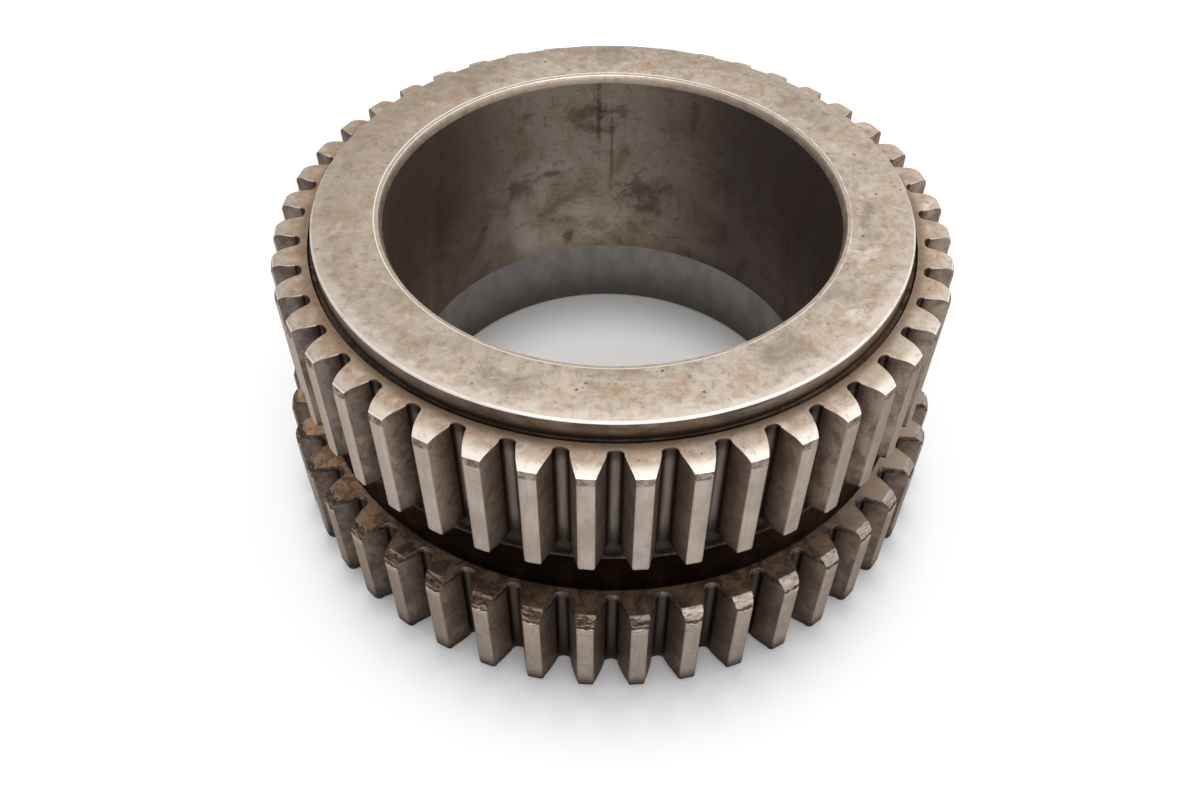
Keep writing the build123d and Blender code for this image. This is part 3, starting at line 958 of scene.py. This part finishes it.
def build_ring(finishes):
    """One closed mesh from the rings, each strip with its finish."""
    rings = shell()
    points = np.concatenate([ring_points for ring_points, _, _ in rings]) * MM
    names = list(finishes)
    faces = []
    slots = []
    for level, (_, cut, finish) in enumerate(rings):
        following = (level + 1) % len(rings)
        next_cut = rings[following][1]
        for face, name in strip_faces(level * AROUND, cut, following * AROUND, next_cut, finish):
            faces.append(face)
            slots.append(names.index(name))
    mesh = bpy.data.meshes.new("gear_ring_detail")
    mesh.from_pydata(points.tolist(), [], faces)
    for name in names:
        mesh.materials.append(finishes[name])
    mesh.polygons.foreach_set("material_index", slots)
    mesh.shade_smooth()
    mesh.set_sharp_from_angle(angle=math.radians(SHARP_ANGLE))
    mesh.update()
    piece = bpy.data.objects.new("gear_ring_detail", mesh)
    bpy.context.scene.collection.objects.link(piece)
    return piece


# ---------------------------------------------------------------- stage, light and camera
FLOOR_SIZE = 40 * LOWER_TIP
FLOOR_COLOUR = (0.96, 0.96, 0.97)
FLOOR_LIFT = 0.02


def add_floor():
    """Plain pale floor, lifted a little towards white where the camera sees it."""
    size = FLOOR_SIZE * MM
    mesh = bpy.data.meshes.new("floor")
    corners = [(-size, -size, 0), (size, -size, 0), (size, size, 0), (-size, size, 0)]
    mesh.from_pydata(corners, [], [(0, 1, 2, 3)])
    floor = bpy.data.objects.new("floor", mesh)
    bpy.context.scene.collection.objects.link(floor)
    material = bpy.data.materials.new("floor")
    material.use_nodes = True
    tree = material.node_tree
    shader = tree.nodes["Principled BSDF"]
    shader.inputs["Base Color"].default_value = (*FLOOR_COLOUR, 1)
    shader.inputs["Roughness"].default_value = 0.8
    shader.inputs["Specular IOR Level"].default_value = 0.1
    shader.inputs["Emission Color"].default_value = (1, 1, 1, 1)
    path = tree.nodes.new("ShaderNodeLightPath")
    lift = maths_node(tree, "MULTIPLY", path.outputs["Is Camera Ray"], FLOOR_LIFT)
    tree.links.new(lift, shader.inputs["Emission Strength"])
    mesh.materials.append(material)


# Strength of the white world: at the horizon, and what it gains towards one side.
MIRRORED_LEVEL = 0.70
MIRRORED_TO_RIGHT = 0.28
MIRRORED_UPWARDS = 0.58
FILL_LEVEL = 0.72
FILL_FROM_BEHIND = 0.20


def add_world():
    """White surroundings. What polished steel mirrors grows brighter overhead and to the right. The
    light that the world throws on everything comes more from behind than from the front."""
    world = bpy.data.worlds.new("studio")
    bpy.context.scene.world = world
    world.use_nodes = True
    tree = world.node_tree
    background = tree.nodes["Background"]
    place = tree.nodes.new("ShaderNodeTexCoord")
    direction = tree.nodes.new("ShaderNodeSeparateXYZ")
    tree.links.new(place.outputs["Generated"], direction.inputs[0])
    right, back, up = direction.outputs
    mirrored = maths_node(tree, "MULTIPLY_ADD", right, MIRRORED_TO_RIGHT, MIRRORED_LEVEL)
    mirrored = maths_node(tree, "MULTIPLY_ADD", up, MIRRORED_UPWARDS, mirrored)
    fill = maths_node(tree, "MULTIPLY_ADD", back, FILL_FROM_BEHIND, FILL_LEVEL)
    path = tree.nodes.new("ShaderNodeLightPath")
    seen = maths_node(tree, "MAXIMUM", path.outputs["Is Camera Ray"], path.outputs["Is Glossy Ray"])
    extra = maths_node(tree, "SUBTRACT", mirrored, fill)
    strength = maths_node(tree, "MULTIPLY_ADD", seen, extra, fill)
    background.inputs["Color"].default_value = (1, 1, 1, 1)
    tree.links.new(strength, background.inputs["Strength"])


# Softboxes, in metres and watts.
FRONT_SOFTBOX = dict(place=(0.5, -2.0, 1.7), width=3.2, height=0.8, power=17.0)
OVERHEAD_SOFTBOX = dict(place=(-0.05, 0.50, 3.0), width=0.75, height=0.75, power=32.0)


def add_softbox(name, place, width, height, power):
    """Elliptic lamp that faces the foot of the ring's axis."""
    data = bpy.data.lights.new(name, "AREA")
    data.shape = "ELLIPSE"
    data.size = width
    data.size_y = height
    data.energy = power
    lamp = bpy.data.objects.new(name, data)
    lamp.location = place
    lamp.rotation_mode = "QUATERNION"
    lamp.rotation_quaternion = (-Vector(place)).to_track_quat("-Z", "Y")
    bpy.context.scene.collection.objects.link(lamp)
    return lamp


def add_lights():
    """A wide softbox in front, which the bevels catch, and one high overhead that steel doesn't mirror."""
    add_softbox("front_softbox", **FRONT_SOFTBOX)
    overhead = add_softbox("overhead_softbox", **OVERHEAD_SOFTBOX)
    overhead.visible_glossy = False


# Camera: distance in front of the ring's axis, height, sensor and lens in millimetres, and angles in radians.
CAMERA_BACK = 235.01
CAMERA_UP = 267.06
CAMERA_YAW = -0.0125
CAMERA_PITCH = 0.8305
CAMERA_ROLL = 0.0088
CAMERA_ROUND = 0.0516
SENSOR = 36.0
LENS = 32.108
CLIP_START = 0.01
CLIP_END = 50.0


def add_camera():
    """Camera in front and above, turned a little round the ring's axis."""
    level_forward = Vector((math.sin(CAMERA_YAW), math.cos(CAMERA_YAW), 0))
    level_right = Vector((math.cos(CAMERA_YAW), -math.sin(CAMERA_YAW), 0))
    forward = level_forward * math.cos(CAMERA_PITCH) - Vector((0, 0, math.sin(CAMERA_PITCH)))
    level_up = level_right.cross(forward)
    right = level_right * math.cos(CAMERA_ROLL) + level_up * math.sin(CAMERA_ROLL)
    up = level_up * math.cos(CAMERA_ROLL) - level_right * math.sin(CAMERA_ROLL)
    pose = Matrix((right, up, -forward)).transposed().to_4x4()
    pose.translation = Vector((0, -CAMERA_BACK, CAMERA_UP)) * MM
    data = bpy.data.cameras.new("camera")
    data.sensor_width = SENSOR
    data.lens = LENS
    data.clip_start = CLIP_START
    data.clip_end = CLIP_END
    camera = bpy.data.objects.new("camera", data)
    camera.matrix_world = Matrix.Rotation(CAMERA_ROUND, 4, "Z") @ pose
    bpy.context.scene.collection.objects.link(camera)
    bpy.context.scene.camera = camera


def main():
    piece = build_ring(materials())
    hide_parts("gear_ring")
    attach(piece, "root")
    add_floor()
    add_world()
    add_lights()
    add_camera()
    bpy.context.scene.view_settings.view_transform = "Standard"


main()
